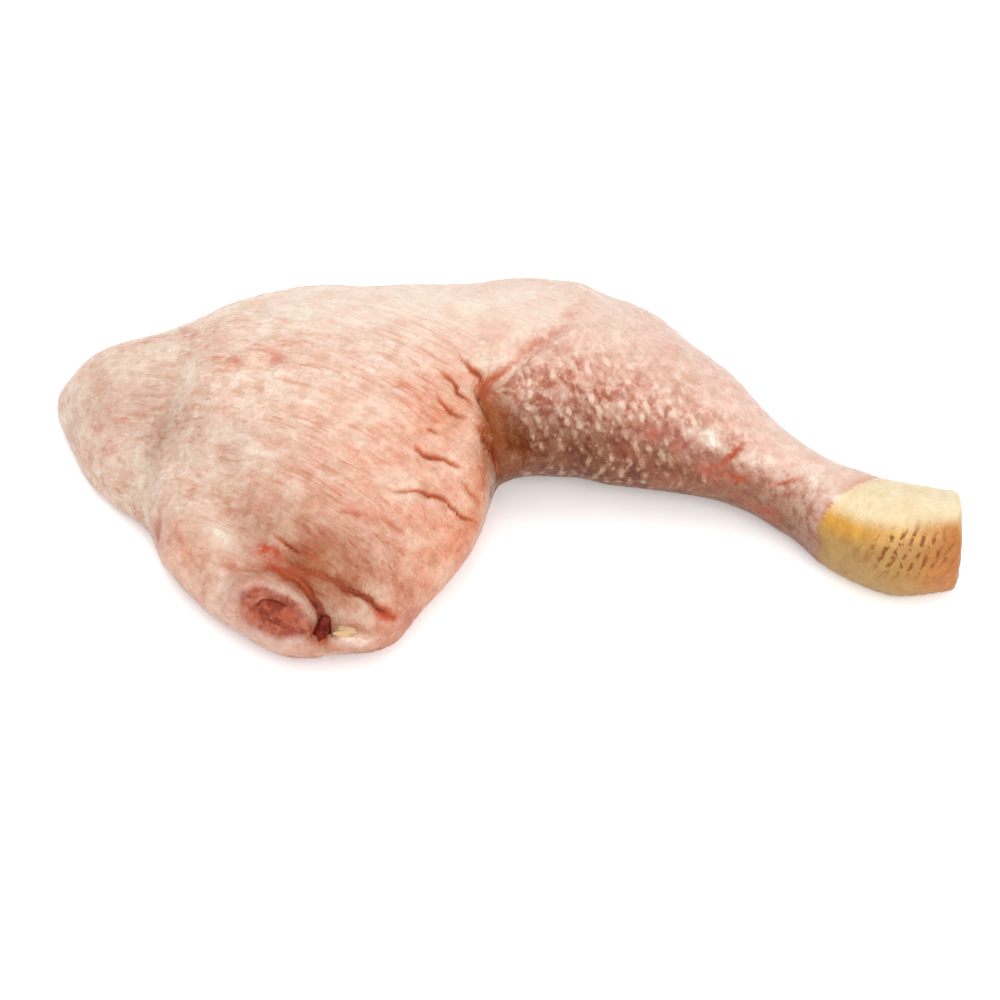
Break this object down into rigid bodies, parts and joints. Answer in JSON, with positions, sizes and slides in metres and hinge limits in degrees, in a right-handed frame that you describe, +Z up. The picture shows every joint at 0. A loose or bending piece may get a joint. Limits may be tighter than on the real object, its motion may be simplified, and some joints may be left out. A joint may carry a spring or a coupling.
{
  "type": "raw chicken leg quarter",
  "caption": "Raw chicken leg quarter lying skin side up: a wide flat thigh, a round drumstick bent back at the knee, and a hock stub cut straight.",
  "frame": {"origin": "middle of the leg's outline seen from above, on the surface that it lies on", "axes": "+X from the rump end of the thigh to the cut at the hock, +Y towards the knee's side, +Z up through the skin"},
  "size_m": [0.2459, 0.1281, 0.0451],
  "materials": {
    "raw_skin": "moist pale pink skin with raised feather follicles",
    "hock_skin": "yellow scaly hock skin",
    "raw_meat": "wet dark red muscle where the leg was cut from the back",
    "fat": "soft cream fat",
    "gristle": "glossy pale joint gristle"
  },
  "bodies": {
    "root": {"leg_quarter": "raw_skin"}
  },
  "joints": []
}
